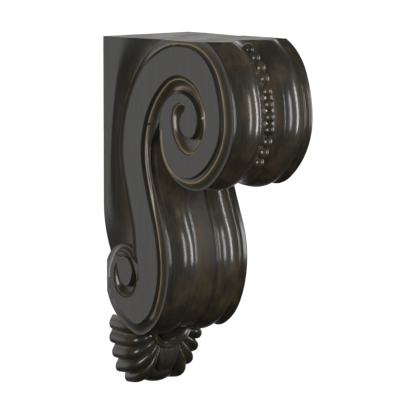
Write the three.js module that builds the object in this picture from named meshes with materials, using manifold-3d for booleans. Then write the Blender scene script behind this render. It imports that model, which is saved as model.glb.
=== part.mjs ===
// Scroll corbel: one carved solid, in millimetres, +Z up.
// The wall is the plane Y = 0, the front faces -Y, and the origin is on the back face.
// The side drawing is in (p, z): p is the distance from the wall, z the height above the top face.
import * as THREE from "three";
import { mergeVertices } from "three/addons/utils/BufferGeometryUtils.js";
import Module from "manifold-3d";

// Block
const HALF_WIDTH = 58;
const EDGE_DROP = 4; // how far the band's edge lies below the side face
const EDGE_HALF_WIDTH = HALF_WIDTH - EDGE_DROP;
const DRAWN_HALF_WIDTH = 54; // the band and the leaves are drawn at this half width
const SPREAD = EDGE_HALF_WIDTH / DRAWN_HALF_WIDTH;
const ORIGIN_DROP = 120; // the origin lies this far below the top face
const OVERCUT = 14; // how far cutters and raw bodies run past a face
const TRIM = [-HALF_WIDTH - 1, -260, -420]; // far corner of the space that the carving is kept within

// Arcs of the side drawing: [radius, turn in degrees], clockwise under zero
const FRONT_START = [105.1, 2.8];
const FRONT_HEADING = 20;
const FRONT_ARCS = [
  [63.1, -88.5],
  [128.5, -20],
  [71.4, -31.2],
  [87.5, -23.4],
  [41, -47.2],
  [50.8, -72.1],
  [81.3, -21.9],
];
const INNER_TURN_ARCS = [
  [29, -96.3],
  [24.7, -107.8],
  [8.1, -45.2],
  [13.7, -155],
];
const STEM_START = [75.4, -91.4];
const STEM_HEADING = -115.4;
const STEM_ARCS = [
  [65.1, 29.7],
  [83.8, 14.4],
  [1365.6, 2.1],
  [105.6, -48.1],
  [55.6, -35.7],
  [24.8, -47.4],
  [81.5, -22.4],
  [52.8, -30.3],
];
const LIP_ARCS = [
  [52.8, -30.2],
  [29.1, -83.1],
  [20.7, -39.9],
];
const CREASE_START = [65.1, -288.7];
const CREASE_HEADING = 52.5;
const CREASE_ARCS = [
  [90.3, 40.2],
  [167.3, 15.6],
  [904.5, -3],
  [96.2, -24.6],
  [89.6, -43.8],
  [37.5, -85.7],
  [48.9, -72],
  [21.1, -103.6],
  [39.4, -56.6],
  [13.6, -112],
];
const BACK_START = [126.6, -6.2];
const BACK_HEADING = 174;
const BACK_ARCS = [
  [71.9, 52.1],
  [122.8, 21.1],
  [130.5, 16.6],
  [102.8, 21.3],
  [1867.6, 1.3],
  [116.3, -12],
  [2775, -0.9],
];
const UPPER_EYE = [131, -83];

// Lower channel: pairs of points on its outer edge and on the edge of the eye's flat
const LOWER_CHANNEL = [
  [[19, -219.5], [18.5, -224]],
  [[27.7, -216.7], [25, -226]],
  [[37.1, -218.9], [33, -225.2]],
  [[44.5, -226], [39.5, -229]],
  [[50.9, -239.3], [44.2, -238]],
  [[52.4, -250.5], [43, -245]],
  [[48, -261.3], [40, -251.5]],
  [[38.5, -267.4], [35, -255]],
  [[27.4, -266.5], [29.5, -253.5]],
  [[19.5, -261.1], [26, -250]],
  [[15.8, -252], [24, -244.9]],
  [[15.5, -241], [21.5, -238]],
  [[18.5, -233], [20, -232.5]],
];

// Inside corners of the lower drum, and the corner of the stem cut away behind its lip
const DRUM_INSIDE = [
  [54, -232],
  [52, -258],
  [30, -268],
  [10, -272],
];
const CORNER_CUT = { low: [-OVERCUT, -262.9], high: [7, -240], depth: 9 };

// Wedge between the upper volute and the stem
const WEDGE_TIP = [80, -84];
const VOLUTE_END_RUN = 331; // the upper volute's edge stops at this run, beside the wedge
const STEM_HEAD = [97.5, -50];
const STEM_TOP = [119.5, 16];
const VOLUTE_BACK = [97, -45];

// Front band: [x, height over the band's edge], from the middle out
const UPPER_BAND = [
  [0, -5.6],
  [8, -4.4],
  [15.6, -0.6],
  [22, 1.4],
  [28.5, 2],
  [35, 1.3],
  [41, -1.4],
  [42.6, -2],
  [46, -3.8],
  [50, -3.8],
  [52.6, -2],
];
const STEM_BAND = [
  [0, -2.6],
  [14, -2.6],
  [15.6, -0.4],
  [22, 1.2],
  [28.5, 1.9],
  [35, 1.2],
  [41, -1.4],
  [42.6, -2],
  [47, -3.9],
  [52, -2.6],
];
// Side rim: [distance in from the edge, depth below the side face]
const UPPER_RIM_TOP = [
  [3, 3.3],
  [7.4, 1.7],
  [9.4, 1],
  [10.6, 2.2],
  [11.8, 2.8],
  [12.6, 0],
];
const UPPER_RIM = [
  [4, 3.2],
  [8, 1.6],
  [9.8, 1],
  [12.4, 2.4],
  [15.6, 2.8],
  [17, 0],
];
const STEM_RIM = [
  [4, 3.2],
  [7.6, 1.8],
  [9, 1.4],
  [10.4, 2.9],
  [12.6, 3.8],
  [13.8, 0],
];
const PLAIN_RIM = [
  [2.4, 3.9],
  [4.8, 3.5],
  [7.2, 2.8],
  [8.8, 2],
  [10.4, 1],
  [11.8, 0],
];
const NARROW_RIM = PLAIN_RIM.map(([inset, depth]) => [0.38 * inset, depth]);
const BAND_FOLLOWS = 0.8; // past this share of its width the band moves with its edge
const RIM_END = UPPER_RIM.map(([inset, depth]) => [0.2 * inset, Math.min(depth, 0.7)]);

// Where one rim passes into the next, in shares of the edge's length or in its run
const TOP_RIM_RUN = [12, 110];
const END_RIM_SHARE = [0.63, 0.86];
const STEM_BAND_SHARE = 0.08;
const PLAIN_RIM_SHARE = [0.62, 0.74];
const NARROW_RIM_RUN = [40, 66];

// Sunk field behind the ribbon: [distance out from the crease, depth]
const BACK_RIM = [
  [0.2, 0],
  [1.4, 3.6],
  [3.4, 3.9],
  [7.2, 3.4],
  [10.1, 2.3],
  [10.8, 3.6],
  [11.6, 7.6],
];
const FIELD_DEPTH = 8.6;
const FIELD_SHARES = [0.15, 0.45, 0.75];
const FIELD_DEPTHS = [1, 0.62, 0.2];
const STRIP_AT_TOP = 24;
const STRIP_END = -172;
const STRIP_SINK_END = -222;
const STRIP_SINK = 9;
const FIELD_TOP_DEPTH = 8;
const FIELD_STEEPNESS = 0.32; // the field's depth is at most this share of its width
const FIELD_FULL_AT = -70;
const FIELD_RISE = 30; // how much higher the wall end of a row of the field lies, at the top
const FIELD_SPREAD = [-35, 20]; // depths under the top between which its rows come to reach the wall

// Spiral channels, from the crease in to the wall of the inner flat
const UPPER_CHANNEL_TURN = [203, -262];
const UPPER_CHANNEL_DEPTH = 6.4;
const LOWER_CHANNEL_DEPTHS = [0.6, 1.6, 3, 4.6, 5.8, 6.7, 7, 7, 6.8, 5.8, 4.4, 3, 1.8];
const CREASE_FROM_RUN = 150;
const INNER_FROM_RUN = 302;
const RIDGE_AT = [6, 1.7]; // the ridge's distance from the crease, at the channel's start and end
const GROOVE_DEPTH = [4.2, 1.4];
const RIDGE_DEPTH = [1.4, 0.8];
const NARROW_SHARES = [0.34, 0.3, 0.12]; // the most of the channel's width that each of the three may be
const GROOVE_SHARE = 0.3;
const FULL_DEPTH_WIDTH = 12.6; // a channel narrower than this is shallower too
const SHALLOW_SHARE = 0.3;
const NARROWEST = 0.5;
const CHANNEL_FLOOR = [
  [0.55, 0.8],
  [0.84, 1],
  [0.97, 0.1],
];

// Pearls
const PEARL_COUNT = 11;
const PEARL_SPACING = 13.8;
const PEARL_FIRST = 57;
const PEARL_RADIUS = 6.8;
const PEARL_SINK = 7.2;
const PEARL_SIDES = 8;
const PEARL_ROWS = 4;

// Leaf drop: each lobe runs from the middle of the front round the corner to the wall,
// in stops of [x, distance from the wall, height, half its own height]
const LOBES = [
  [[14, 34, -298, 6], [38, 35, -299, 8], [46, 23, -298.5, 8.3], [43, -4, -297, 7.6]],
  [[15, 33, -306, 3.6], [35, 33, -311.5, 6.5], [44, 24, -313.5, 7.8], [43.5, -4, -311.5, 7.6]],
  [[14, 33, -311.5, 3.2], [31, 31, -322, 6], [41.5, 22, -327.5, 7.6], [39.5, -4, -327.5, 7.6]],
  [[13, 33, -317, 3], [26, 30, -332, 5.6], [36, 20, -341, 7.4], [35, -4, -343.5, 7.4]],
  [[12, 32.5, -322, 2.8], [19, 29, -339.5, 5.4], [25.5, 19, -352, 7.6], [22, -4, -355.5, 7.6]],
];
// Section of a lobe: [outward, up], in shares of its bulge and half height
const LOBE_SECTION = [
  [-1, 0.1],
  [-0.2, 1],
  [0.5, 0.95],
  [0.7, 0.55],
  [1, -0.1],
  [0.75, -0.8],
  [-0.5, -0.9],
];
const LOBE_BULGE = 7.4;
const LOBE_ROWS = 7;
const LOBE_TAPER = 0.55; // share of its bulge that a lobe starts with
const LOBE_TAPER_END = 0.35;
const NEARBY = 0.01; // step along a spine for its direction
const CORE = { halfWidth: 38, depth: 29, top: -280, bottom: -352, foot: 0.5 };
const CORE_ROWS = [0, 0.4, 0.75, 1];
const CORE_SIDES = 8;
const CORE_SQUARENESS = 0.6; // under one rounds the body's corners less than an oval would

// U-shaped hood under the stem's channel, with its tongue, the front leaf and the boss at the bottom
const HOOD = { depth: 39, middle: -303, radius: 21, height: 18.5, lean: 0.22, bulge: 6, thick: 4.2 };
const HOOD_TURN = [200, -20];
const HOOD_ROWS = 9;
const HOOD_SECTION = [
  [-1.2, 0],
  [-0.9, 0.95],
  [0.75, 0.85],
  [0.95, 0.55],
  [0.2, -0.6],
  [-0.8, -0.9],
];
const TONGUE = { middle: [0, 39, -300], radii: [16, 6.5, 18.5], tilt: 12 };
const BOSS = { middle: [0, 12, -350], radii: [22, 17, 13], tilt: 0 };
const FRONT_LEAF = [
  [0, 30, -314, 14],
  [0, 31.5, -328, 15],
  [0, 29, -341, 12.5],
  [0, 30, -350, 9.5],
];
const FRONT_LEAF_SECTION = [
  [-1.4, 0.6],
  [0.3, 1],
  [0.8, 0.85],
  [0.62, 0.5],
  [0.8, 0],
  [0.62, -0.5],
  [0.8, -0.85],
  [0.3, -1],
  [-1.4, -0.6],
];
const FRONT_LEAF_BULGE = 6;
const FRONT_LEAF_ROWS = 5;
const OVAL_SIDES = 10;
const OVAL_ROWS = 6;

const ARC_STEP = 18;
const FINE_STEP = 3;
const TURN_STEP = 20;

const wasm = await Module();
wasm.setup();

// A closed solid from points and triangles, turned to face out.
function solidFrom(points, triangles) {
  const geometry = new THREE.BufferGeometry();
  geometry.setAttribute("position", new THREE.Float32BufferAttribute(points.flat(), 3));
  geometry.setIndex(triangles.flat());
  return solidOf(geometry);
}

function solidOf(geometry) {
  const bare = geometry.clone();
  bare.deleteAttribute("normal");
  bare.deleteAttribute("uv");
  const merged = mergeVertices(bare, 1e-4);
  const triVerts = new Uint32Array(merged.index.array);
  const vertProperties = merged.attributes.position.array;
  const made = new wasm.Manifold(new wasm.Mesh({ numProp: 3, vertProperties, triVerts }));
  if (made.volume() > 0) return made;
  for (let i = 0; i < triVerts.length; i += 3) {
    [triVerts[i + 1], triVerts[i + 2]] = [triVerts[i + 2], triVerts[i + 1]];
  }
  return new wasm.Manifold(new wasm.Mesh({ numProp: 3, vertProperties, triVerts }));
}

// A skin over rings of equal length, closed by flat or fanned ends.
// flat(point) gives the two coordinates in which an end is a plain outline.
function skin(rings, flat) {
  const count = rings[0].length;
  const triangles = [];
  for (let r = 0; r + 1 < rings.length; r++) {
    for (let i = 0; i < count; i++) {
      const j = (i + 1) % count;
      const [a, b] = [r * count + i, r * count + j];
      const [c, d] = [a + count, b + count];
      triangles.push([a, b, d], [a, d, c]);
    }
  }
  const last = (rings.length - 1) * count;
  for (const [a, b, c] of endOf(rings[0], flat)) triangles.push([a, c, b]);
  for (const [a, b, c] of endOf(rings.at(-1), flat)) triangles.push([last + a, last + b, last + c]);
  return solidFrom(rings.flat(), triangles);
}

// The triangles of a flat end, which run the way its ring does
function endOf(ring, flat) {
  const outline = ring.map((point) => new THREE.Vector2(...flat(point, ring)));
  const way = Math.sign(THREE.ShapeUtils.area(outline));
  const faces = THREE.ShapeUtils.triangulateShape(outline, []);
  return faces.map(([a, b, c]) => {
    const corners = [a, b, c].map((i) => outline[i]);
    return Math.sign(THREE.ShapeUtils.area(corners)) === way ? [a, b, c] : [a, c, b];
  });
}

// Points along a chain of arcs, each with its heading and its run from the start.
function arcChain(start, heading, arcs, step) {
  let [p, z] = start;
  let h = THREE.MathUtils.degToRad(heading);
  let run = 0;
  const points = [{ p, z, h, run }];
  for (const [radius, turn] of arcs) {
    const side = Math.sign(turn);
    const sweep = THREE.MathUtils.degToRad(turn);
    const length = radius * Math.abs(sweep);
    const count = Math.max(1, Math.ceil(length / step), Math.ceil(Math.abs(turn) / TURN_STEP));
    const centre = [p - side * radius * Math.sin(h), z + side * radius * Math.cos(h)];
    for (let i = 1; i <= count; i++) {
      const at = h + (sweep * i) / count;
      points.push({
        p: centre[0] + side * radius * Math.sin(at),
        z: centre[1] - side * radius * Math.cos(at),
        h: at,
        run: run + (length * i) / count,
      });
    }
    h += sweep;
    run += length;
    p = points.at(-1).p;
    z = points.at(-1).z;
  }
  return points;
}

// The point of the side drawing that lies to the right of the way of travel
const toRight = ({ p, z, h }, distance) => [p + distance * Math.sin(h), z - distance * Math.cos(h)];
const smooth = (value, from, to) => THREE.MathUtils.smoothstep(value, from, to);
const blend = (a, b, share) => a + (b - a) * share;
const between = (a, b, share) => [blend(a[0], b[0], share), blend(a[1], b[1], share)];
const world = (x, [p, z]) => [x, -p, z];
const sideView = ([, y, z]) => [-y, z];
const acrossView = ([x, y, z], ring) => [x, Math.hypot(y - ring[0][1], z - ring[0][2])];

// A body whose edge carries the front band and, on both sides, the rim.
// Each place of the edge tells how much of the band it shows and its own rim.
function mouldedBody(edge, inside, band) {
  const stations = [];
  for (const [x, rise] of band) stations.push({ kind: "band", x, rise });
  stations.push({ kind: "edge" });
  for (let i = 0; i < edge[0].rim.length; i++) stations.push({ kind: "rim", i });
  const last = band.at(-1)[0];
  const half = stations.map((station) => {
    const at = (place) => {
      if (station.kind === "rim") {
        const [inset, depth] = place.rim[station.i];
        return { x: HALF_WIDTH - depth, inset };
      }
      if (station.kind === "edge") return { x: place.edgeX, inset: 0 };
      const outer = station.x > BAND_FOLLOWS * last;
      const spread = outer ? (place.edgeX - EDGE_HALF_WIDTH) * (station.x / last) : 0;
      return { x: station.x * SPREAD + spread, inset: -station.rise * place.relief };
    };
    return (side) => [
      ...edge.map((place) => {
        const { x, inset } = at(place);
        return world(side * x, toRight(place, inset));
      }),
      ...inside.map((point) => world(side * at(edge.at(-1)).x, point)),
    ];
  });
  const left = half.slice(1).reverse();
  return skin([...left.map((ring) => ring(-1)), ...half.map((ring) => ring(1))], sideView);
}

// The rim between two named rims, from its full form at 0 to the other at 1
function rimBetween(a, b, share) {
  return a.map(([inset, depth], i) => [blend(inset, b[i][0], share), blend(depth, b[i][1], share)]);
}

// The upper volute: its rim dies out under the scroll
function upperVolute() {
  const chain = arcChain(FRONT_START, FRONT_HEADING, FRONT_ARCS, ARC_STEP);
  const end = chain.at(-1).run;
  const [fadeStart, fadeEnd] = END_RIM_SHARE.map((share) => share * end);
  const edge = chain.filter(({ run }) => run < VOLUTE_END_RUN).map((place) => {
    const fade = smooth(place.run, fadeStart, fadeEnd);
    const full = rimBetween(UPPER_RIM_TOP, UPPER_RIM, smooth(place.run, ...TOP_RIM_RUN));
    return {
      ...place,
      relief: 1 - smooth(place.run, fadeEnd, end),
      edgeX: blend(EDGE_HALF_WIDTH, HALF_WIDTH - RIM_END[0][1], fade),
      rim: rimBetween(full, RIM_END, fade),
    };
  });
  return mouldedBody(edge, [WEDGE_TIP, VOLUTE_BACK], UPPER_BAND);
}

// The stem, the belly of the lower volute and the block behind them
function stemAndBlock() {
  const chain = arcChain(STEM_START, STEM_HEADING, STEM_ARCS, ARC_STEP);
  const end = chain.at(-1).run;
  const [plainStart, plainEnd] = PLAIN_RIM_SHARE.map((share) => share * end);
  const edge = chain.map((place) => ({
    ...place,
    relief: smooth(place.run, 0, STEM_BAND_SHARE * end),
    edgeX: EDGE_HALF_WIDTH,
    rim: rimBetween(STEM_RIM, PLAIN_RIM, smooth(place.run, plainStart, plainEnd)),
  }));
  const inside = [[-OVERCUT, edge.at(-1).z], [-OVERCUT, STEM_TOP[1]], STEM_TOP, STEM_HEAD, WEDGE_TIP];
  return mouldedBody(edge, inside, STEM_BAND);
}

// The drum of the lower volute, whose lip stands clear of the sunk field
function lowerDrum() {
  const turn = arcChain(STEM_START, STEM_HEADING, STEM_ARCS, ARC_STEP).at(-1);
  const heading = THREE.MathUtils.radToDeg(turn.h);
  const edge = arcChain([turn.p, turn.z], heading, LIP_ARCS, ARC_STEP).map((place) => ({
    ...place,
    relief: 0,
    edgeX: EDGE_HALF_WIDTH,
    rim: rimBetween(PLAIN_RIM, NARROW_RIM, smooth(place.run, ...NARROW_RIM_RUN)),
  }));
  return mouldedBody(edge, DRUM_INSIDE, STEM_BAND);
}

// The stem's back corner, cut away behind the lip of the lower drum
function cornerCutter(side) {
  const { low, high, depth } = CORNER_CUT;
  const [inner, outer] = [side * (HALF_WIDTH - depth), side * (HALF_WIDTH + OVERCUT)];
  return boxBetween(
    [Math.min(inner, outer), -high[0], low[1]],
    [Math.max(inner, outer), -low[0], high[1]],
  );
}

// The cutter that sinks the field behind the ribbon, on the side given by its sign
function fieldCutter(side) {
  const rows = arcChain(BACK_START, BACK_HEADING, BACK_ARCS, ARC_STEP);
  const outer = side * (HALF_WIDTH + OVERCUT);
  const rings = rows.map((place) => {
    const foot = toRight(place, BACK_RIM.at(-1)[0]);
    const down = THREE.MathUtils.clamp((foot[1] - STRIP_END) / (STRIP_SINK_END - STRIP_END), 0, 1);
    const strip = STRIP_AT_TOP * (1 - foot[1] / STRIP_END);
    const reach = smooth(-foot[1], ...FIELD_SPREAD);
    const rise = FIELD_RISE * smooth(foot[1], STRIP_END, 0);
    const end = [blend(foot[0], Math.max(strip, -OVERCUT), reach), foot[1] + rise];
    const sink = STRIP_SINK * down * down;
    const steepest = FIELD_STEEPNESS * Math.hypot(foot[0] - end[0], foot[1] - end[1]);
    const dished = blend(FIELD_TOP_DEPTH, FIELD_DEPTH, smooth(-foot[1], 0, -FIELD_FULL_AT));
    const full = Math.max(Math.min(dished, steepest), sink);
    const depths = FIELD_DEPTHS.map((share) => sink + (full - sink) * share);
    const rim = BACK_RIM.map(([out, depth]) => {
      return world(side * (HALF_WIDTH - Math.min(depth, full)), toRight(place, out));
    });
    const floor = FIELD_SHARES.map((share, i) => {
      return world(side * (HALF_WIDTH - depths[i]), between(foot, end, share));
    });
    const start = world(outer, toRight(place, 0));
    return [start, ...rim, ...floor, world(side * (HALF_WIDTH - sink), end), world(outer, end)];
  });
  return skin(rings, acrossView);
}

// The place where a spiral chain crosses each ray from its eye
function rayMeeting(chain, eye) {
  let turned = null;
  const angles = chain.map(({ p, z }) => {
    const raw = Math.atan2(z - eye[1], p - eye[0]);
    if (turned === null) turned = raw < 0 ? raw + 2 * Math.PI : raw;
    turned += Math.atan2(Math.sin(raw - turned), Math.cos(raw - turned));
    return turned;
  });
  return (angle) => {
    const after = angles.findIndex((a) => a <= angle);
    if (after < 1) return after === 0 ? [chain[0].p, chain[0].z] : [chain.at(-1).p, chain.at(-1).z];
    const share = (angles[after - 1] - angle) / (angles[after - 1] - angles[after]);
    const [a, b] = [chain[after - 1], chain[after]];
    return between([a.p, a.z], [b.p, b.z], share);
  };
}

// One section of a channel's cutter, between its crease and the edge of the inner flat.
// start is one where the channel leaves the stem, and falls to nothing at its end.
function channelRing(side, outer, inner, depth, start) {
  const width = Math.max(Math.hypot(outer[0] - inner[0], outer[1] - inner[1]), NARROWEST);
  const [ridge, groove, crest] = [RIDGE_AT, GROOVE_DEPTH, RIDGE_DEPTH].map(([first, last], i) =>
    Math.min(blend(last, first, start), NARROW_SHARES[i] * width),
  );
  const spot = (distance, down) => world(side * (HALF_WIDTH - down), between(outer, inner, distance / width));
  return [
    spot(0, -OVERCUT),
    spot(0, 0),
    spot(GROOVE_SHARE * ridge, groove),
    spot(ridge, crest),
    ...CHANNEL_FLOOR.map(([share, down]) => spot(width * share, depth * down)),
    spot(width, 0),
    spot(width, -OVERCUT),
  ];
}

function upperChannel(side) {
  const crease = arcChain(CREASE_START, CREASE_HEADING, CREASE_ARCS, FINE_STEP);
  const innerTurn = arcChain(FRONT_START, FRONT_HEADING, [...FRONT_ARCS, ...INNER_TURN_ARCS], FINE_STEP);
  const outerAt = rayMeeting(crease.filter(({ run }) => run > CREASE_FROM_RUN), UPPER_EYE);
  const innerAt = rayMeeting(innerTurn.filter(({ run }) => run > INNER_FROM_RUN), UPPER_EYE);
  const [first, last] = UPPER_CHANNEL_TURN;
  const count = Math.round((first - last) / TURN_STEP);
  const rings = [];
  for (let i = 0; i <= count; i++) {
    const angle = THREE.MathUtils.degToRad(blend(first, last, i / count));
    const [outer, inner] = [outerAt(angle), innerAt(angle)];
    const width = Math.hypot(outer[0] - inner[0], outer[1] - inner[1]);
    const share = SHALLOW_SHARE + ((1 - SHALLOW_SHARE) * width) / FULL_DEPTH_WIDTH;
    const depth = UPPER_CHANNEL_DEPTH * Math.min(1, share);
    rings.push(channelRing(side, outer, inner, depth, (1 - i / count) ** 3));
  }
  return skin(rings, acrossView);
}

function lowerChannel(side) {
  const rings = LOWER_CHANNEL.map(([outer, inner], i) => {
    return channelRing(side, outer, inner, LOWER_CHANNEL_DEPTHS[i], 0);
  });
  return skin(rings, acrossView);
}

// A point of the smooth curve through evenly timed stops
function spline(stops, share) {
  const last = stops.length - 1;
  const i = Math.min(Math.floor(share * last), last - 1);
  const f = share * last - i;
  const [a, b, c, d] = [i - 1, i, i + 1, i + 2].map((k) => stops[THREE.MathUtils.clamp(k, 0, last)]);
  return b.map((value, axis) => {
    const [before, after, far] = [a[axis], c[axis], d[axis]];
    const bend = 2 * before - 5 * value + 4 * after - far;
    const twist = 3 * value - before - 3 * after + far;
    return value + 0.5 * ((after - before) * f + bend * f ** 2 + twist * f ** 3);
  });
}

// A lobe of the leaf drop: its section carried along the stops, with its outward side
// turned away from the drop's own middle
function lobe(stops, side) {
  const rings = [];
  for (let i = 0; i <= LOBE_ROWS; i++) {
    const share = i / LOBE_ROWS;
    const [x, p, z, height] = spline(stops, share);
    const after = spline(stops, Math.min(share + NEARBY, 1));
    const before = spline(stops, Math.max(share - NEARBY, 0));
    const ahead = new THREE.Vector3(...[0, 1, 2].map((axis) => after[axis] - before[axis])).normalize();
    const outward = new THREE.Vector3(x, p, 0).projectOnPlane(ahead).normalize();
    const up = new THREE.Vector3().crossVectors(ahead, outward);
    if (up.z < 0) up.negate();
    const bulge = LOBE_BULGE * blend(LOBE_TAPER, 1, smooth(share, 0, LOBE_TAPER_END));
    rings.push(
      LOBE_SECTION.map(([o, u]) => {
        const spot = new THREE.Vector3(x, p, z);
        spot.addScaledVector(outward, o * bulge).addScaledVector(up, u * height);
        return [side * spot.x * SPREAD, -spot.y, spot.z];
      }),
    );
  }
  return fanned(rings);
}

// The hood: a U-shaped fold whose section follows half a ring
function hood() {
  const rings = [];
  for (let i = 0; i <= HOOD_ROWS; i++) {
    const a = THREE.MathUtils.degToRad(blend(...HOOD_TURN, i / HOOD_ROWS));
    const [across, down] = [Math.cos(a), -Math.sin(a)];
    rings.push(
      HOOD_SECTION.map(([o, u]) => {
        const p = HOOD.depth + HOOD.lean * down * HOOD.height + o * HOOD.bulge;
        const x = across * (HOOD.radius + u * HOOD.thick);
        return [x * SPREAD, -p, HOOD.middle + down * (HOOD.height + u * HOOD.thick)];
      }),
    );
  }
  return fanned(rings);
}

function frontLeaf() {
  const rings = [];
  for (let i = 0; i <= FRONT_LEAF_ROWS; i++) {
    const [x, p, z, width] = spline(FRONT_LEAF, i / FRONT_LEAF_ROWS);
    const spot = ([o, u]) => [(x + u * width) * SPREAD, -(p + o * FRONT_LEAF_BULGE), z];
    rings.push(FRONT_LEAF_SECTION.map(spot));
  }
  return fanned(rings);
}

// A rounded boss, tilted about the x axis
function oval({ middle: [x, p, z], radii, tilt }) {
  const ball = new THREE.SphereGeometry(1, OVAL_SIDES, OVAL_ROWS);
  ball.rotateX(Math.PI / 2);
  ball.scale(radii[0] * SPREAD, radii[1], radii[2]);
  ball.rotateX(THREE.MathUtils.degToRad(tilt));
  ball.translate(x, -p, z);
  return solidOf(ball);
}

// A skin over rings whose ends are fans about their middle
function fanned(rings) {
  const count = rings[0].length;
  const points = rings.flat();
  const triangles = [];
  for (let r = 0; r + 1 < rings.length; r++) {
    for (let i = 0; i < count; i++) {
      const j = (i + 1) % count;
      triangles.push([r * count + i, r * count + j, (r + 1) * count + j]);
      triangles.push([r * count + i, (r + 1) * count + j, (r + 1) * count + i]);
    }
  }
  for (const [ring, flip] of [[0, true], [rings.length - 1, false]]) {
    const middle = [0, 1, 2].map((axis) => rings[ring].reduce((sum, v) => sum + v[axis], 0) / count);
    points.push(middle);
    for (let i = 0; i < count; i++) {
      const [a, b] = [ring * count + i, ring * count + ((i + 1) % count)];
      triangles.push(flip ? [b, a, points.length - 1] : [a, b, points.length - 1]);
    }
  }
  return solidFrom(points, triangles);
}

// The body that the leaf fingers lie on
function leafCore() {
  const rings = CORE_ROWS.map((share) => {
    const size = blend(1, CORE.foot, share ** 2);
    const halfWidth = CORE.halfWidth * size * SPREAD;
    const z = blend(CORE.top, CORE.bottom, share);
    const ring = [];
    for (let k = 0; k <= CORE_SIDES; k++) {
      const a = (Math.PI * k) / CORE_SIDES;
      const round = (v) => Math.sign(v) * Math.abs(v) ** CORE_SQUARENESS;
      ring.push([halfWidth * round(Math.cos(a)), -CORE.depth * size * round(Math.sin(a)), z]);
    }
    ring.push([-halfWidth, OVERCUT, z], [halfWidth, OVERCUT, z]);
    return ring;
  });
  return skin(rings, ([x, y]) => [x, y]);
}

// The row of pearls along the middle of the upper band
function pearls() {
  const chain = arcChain(FRONT_START, FRONT_HEADING, FRONT_ARCS, 1);
  const made = [];
  for (let i = 0; i < PEARL_COUNT; i++) {
    const run = PEARL_FIRST + i * PEARL_SPACING;
    const place = chain.find((point) => point.run >= run);
    const [p, z] = toRight(place, PEARL_SINK);
    const ball = new THREE.SphereGeometry(PEARL_RADIUS, PEARL_SIDES, PEARL_ROWS);
    ball.rotateX(Math.PI / 2);
    ball.translate(0, -p, z);
    made.push(solidOf(ball));
  }
  return made;
}

function boxBetween(low, high) {
  const size = high.map((value, i) => value - low[i]);
  const box = new THREE.BoxGeometry(...size);
  box.translate(...low.map((value, i) => value + size[i] / 2));
  return solidOf(box);
}

function carve() {
  const sides = [-1, 1];
  let block = stemAndBlock();
  for (const side of sides) block = block.subtract(fieldCutter(side)).subtract(cornerCutter(side));
  let body = block.add(lowerDrum()).add(upperVolute());
  for (const side of sides) body = body.subtract(upperChannel(side)).subtract(lowerChannel(side));

  body = body.add(leafCore());
  for (const side of sides) {
    for (const stops of LOBES) body = body.add(lobe(stops, side));
  }
  for (const shape of [oval(BOSS), frontLeaf(), hood(), oval(TONGUE), ...pearls()]) body = body.add(shape);
  return body.intersect(boxBetween(TRIM, [HALF_WIDTH + 1, 0, 0]));
}

function meshOf(solid, name, material) {
  const { vertProperties, triVerts } = solid.getMesh();
  const geometry = new THREE.BufferGeometry();
  geometry.setAttribute("position", new THREE.BufferAttribute(new Float32Array(vertProperties), 3));
  geometry.setIndex(new THREE.BufferAttribute(new Uint32Array(triVerts), 1));
  geometry.computeVertexNormals();
  const mesh = new THREE.Mesh(geometry, material);
  mesh.name = name;
  return mesh;
}

const darkLacquer = new THREE.MeshStandardMaterial({ color: 0x3a3530, roughness: 0.4, metalness: 0.1 });
const corbel = meshOf(carve(), "scroll_corbel", darkLacquer);
corbel.position.z = ORIGIN_DROP;

const group = new THREE.Group();
group.add(corbel);

export default group;
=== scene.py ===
import math

import bpy
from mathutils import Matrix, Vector, kdtree

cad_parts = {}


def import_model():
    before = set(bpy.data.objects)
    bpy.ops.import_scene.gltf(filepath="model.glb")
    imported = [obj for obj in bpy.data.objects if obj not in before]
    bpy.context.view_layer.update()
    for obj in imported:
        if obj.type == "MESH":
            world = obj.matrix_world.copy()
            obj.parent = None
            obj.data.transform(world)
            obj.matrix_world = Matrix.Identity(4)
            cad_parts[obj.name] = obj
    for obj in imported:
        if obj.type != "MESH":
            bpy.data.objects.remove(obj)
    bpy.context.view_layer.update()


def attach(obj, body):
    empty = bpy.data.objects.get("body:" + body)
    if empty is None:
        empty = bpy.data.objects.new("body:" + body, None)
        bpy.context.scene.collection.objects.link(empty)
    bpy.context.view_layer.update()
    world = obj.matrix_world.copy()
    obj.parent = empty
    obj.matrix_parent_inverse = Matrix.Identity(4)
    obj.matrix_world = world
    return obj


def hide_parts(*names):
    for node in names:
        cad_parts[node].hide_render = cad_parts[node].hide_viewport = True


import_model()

# Sizes of the carving, in millimetres, in the side drawing's own frame:
# p is the distance from the wall, z the height above the top face
MM = 0.001
TOP_ABOVE_ORIGIN = 120.0
HALF_WIDTH = 58.0
RIM_DROP = 4.0
EDGE_X = HALF_WIDTH - RIM_DROP
OVERCUT = 14.0
STEP = 3.0
TURN_STEP = 6.0
MERGE_DISTANCE = 0.001

# Arcs of the side drawing: start, heading, then (radius, turn in degrees), clockwise under zero
FRONT = ((105.1, 2.8), 20.0, [
    (63.1, -88.5), (128.5, -20.0), (71.4, -31.2), (87.5, -23.4),
    (41.0, -47.2), (50.8, -72.1), (81.3, -21.9),
])
INNER_TURN = [(29.0, -96.3), (24.7, -107.8), (8.1, -45.2), (13.7, -155.0)]
STEM = ((75.4, -91.4), -115.4, [
    (65.1, 29.7), (83.8, 14.4), (1365.6, 2.1), (105.6, -48.1),
    (55.6, -35.7), (24.8, -47.4), (81.5, -22.4), (52.8, -30.3),
])
LIP = [(52.8, -30.2), (29.1, -83.1), (20.7, -39.9)]
CREASE = ((65.1, -288.7), 52.5, [
    (90.3, 40.2), (167.3, 15.6), (904.5, -3.0), (96.2, -24.6), (89.6, -43.8),
    (37.5, -85.7), (48.9, -72.0), (21.1, -103.6), (39.4, -56.6), (13.6, -112.0),
])
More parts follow.
